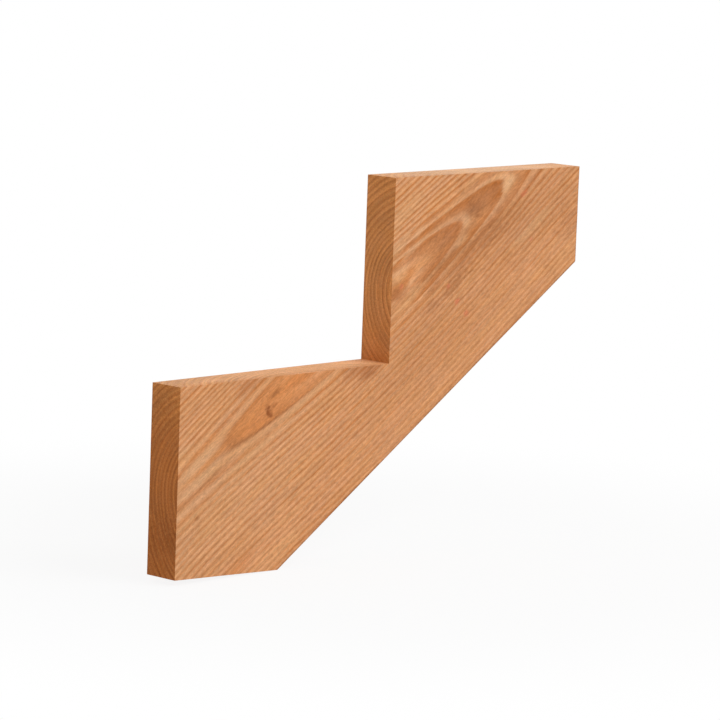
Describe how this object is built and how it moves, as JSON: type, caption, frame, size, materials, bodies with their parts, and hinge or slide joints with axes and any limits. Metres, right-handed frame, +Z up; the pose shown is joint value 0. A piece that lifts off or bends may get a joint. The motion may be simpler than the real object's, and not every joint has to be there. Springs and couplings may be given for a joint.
{
  "type": "stair stringer",
  "caption": "Cut stair stringer sawn from softwood plank: level tread seats and plumb riser faces step up its top edge, with a plumb head cut and a foot cut that falls slightly to its heel.",
  "frame": {"origin": "the toe: where the first riser face meets the foot cut, at mid-thickness of the plank", "axes": "+X runs level into the flight, towards the head; +Y crosses the plank's thickness; +Z is up, along the riser faces"},
  "size_m": [0.5652, 0.0382, 0.3743],
  "materials": {
    "treated_softwood": "planed softwood with a cedar-tone preservative, sawn on the cut faces"
  },
  "bodies": {
    "root": {"stringer": "treated_softwood"}
  },
  "joints": []
}
